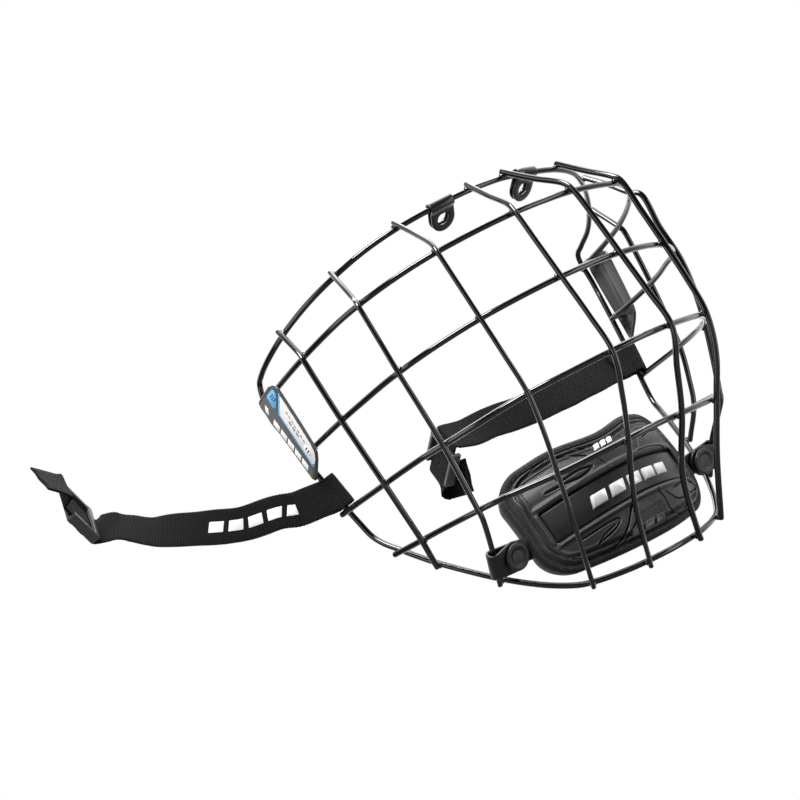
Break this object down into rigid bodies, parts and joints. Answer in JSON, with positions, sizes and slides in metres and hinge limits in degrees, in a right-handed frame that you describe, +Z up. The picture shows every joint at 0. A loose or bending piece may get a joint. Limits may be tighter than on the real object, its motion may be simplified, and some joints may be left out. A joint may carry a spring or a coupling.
{
  "type": "hockey helmet cage",
  "caption": "Welded black wire face cage for a hockey helmet, with folded screw tabs, side plates, a padded chin cup held by press studs and looped webbing chin straps with sliders.",
  "frame": {"origin": "on the upper flat face of the right mounting tab, beside its screw hole, where the cage lies against the helmet shell", "axes": "+X to the wearer's left across the cage, +Y from the face to the back of the head, +Z up"},
  "size_m": [0.3119, 0.181, 0.1843],
  "materials": {
    "black_wire": "gloss black powder coat",
    "tab_metal": "semi-gloss dark coated sheet",
    "plate_plastic": "satin dark grey moulding with a light printed panel",
    "webbing": "woven black nylon",
    "slider_plastic": "satin charcoal moulding",
    "cup_foam": "moulded foam under black grained vinyl",
    "cup_lining": "soft brushed knit",
    "cup_edge": "ribbed binding tape, stitched",
    "cup_panel": "smooth black inlay",
    "badge_silver": "silver raised bars",
    "band_vinyl": "smooth black vinyl band",
    "snap_plastic": "dark grey dished cap"
  },
  "bodies": {
    "cage": {"rim_wire": "black_wire", "upright_left_1": "black_wire", "upright_right_1": "black_wire", "upright_left_2": "black_wire", "upright_right_2": "black_wire", "upright_left_3": "black_wire", "upright_right_3": "black_wire", "upright_left_4": "black_wire", "upright_right_4": "black_wire", "cross_wire_1": "black_wire", "cross_wire_2": "black_wire", "cross_wire_3": "black_wire", "cross_wire_4": "black_wire", "mount_tab_left": "tab_metal", "mount_tab_right": "tab_metal", "side_plate_left": "plate_plastic", "side_plate_right": "plate_plastic"},
    "chin_strap_left": {"strap_left": "webbing"},
    "chin_strap_right": {"strap_right": "webbing"},
    "slider_body_left": {"slider_left": "slider_plastic"},
    "slider_body_right": {"slider_right": "slider_plastic"},
    "chin_cup": {"cup_shell": "cup_foam", "cup_liner": "cup_lining", "cup_binding": "cup_edge", "cup_panel": "cup_panel", "cup_badge": "badge_silver", "snap_band_left": "band_vinyl", "snap_band_right": "band_vinyl", "snap_stud_left": "snap_plastic", "snap_stud_right": "snap_plastic"},
    "flap_left": {"snap_flap_left": "band_vinyl", "snap_cap_left": "snap_plastic"},
    "flap_right": {"snap_flap_right": "band_vinyl", "snap_cap_right": "snap_plastic"}
  },
  "joints": [
    {"name": "strap_left_swing", "type": "hinge", "parent": "cage", "child": "chin_strap_left", "pos_m": [0.12476, 0.0864, -0.07029], "axis": [-0.1813, 0.0502, -0.9821], "range_deg": [-15, 55]},
    {"name": "strap_right_swing", "type": "hinge", "parent": "cage", "child": "chin_strap_right", "pos_m": [-0.06741, 0.0864, -0.07029], "axis": [0.1813, 0.0502, -0.9821], "range_deg": [-40, 55]},
    {"name": "slider_left_slide", "type": "slide", "parent": "chin_strap_left", "child": "slider_body_left", "axis": [-0.0177, 0.9372, -0.3483], "range_m": [0, 0.003]},
    {"name": "slider_right_slide", "type": "slide", "parent": "chin_strap_right", "child": "slider_body_right", "axis": [-0.5208, -0.653, 0.5498], "range_m": [0, 0.003]},
    {"name": "chin_cup_tilt", "type": "hinge", "parent": "cage", "child": "chin_cup", "pos_m": [0.02867, 0.05102, -0.14072], "axis": [1, 0, 0], "range_deg": [-4, 4]},
    {"name": "flap_left_open", "type": "hinge", "parent": "chin_cup", "child": "flap_left", "pos_m": [0.09807, 0.05102, -0.14072], "axis": [0.1418, -0.7312, 0.6673], "range_deg": [0, 70]},
    {"name": "flap_right_open", "type": "hinge", "parent": "chin_cup", "child": "flap_right", "pos_m": [-0.04072, 0.05102, -0.14072], "axis": [0.1418, 0.7312, -0.6673], "range_deg": [0, 70]}
  ]
}
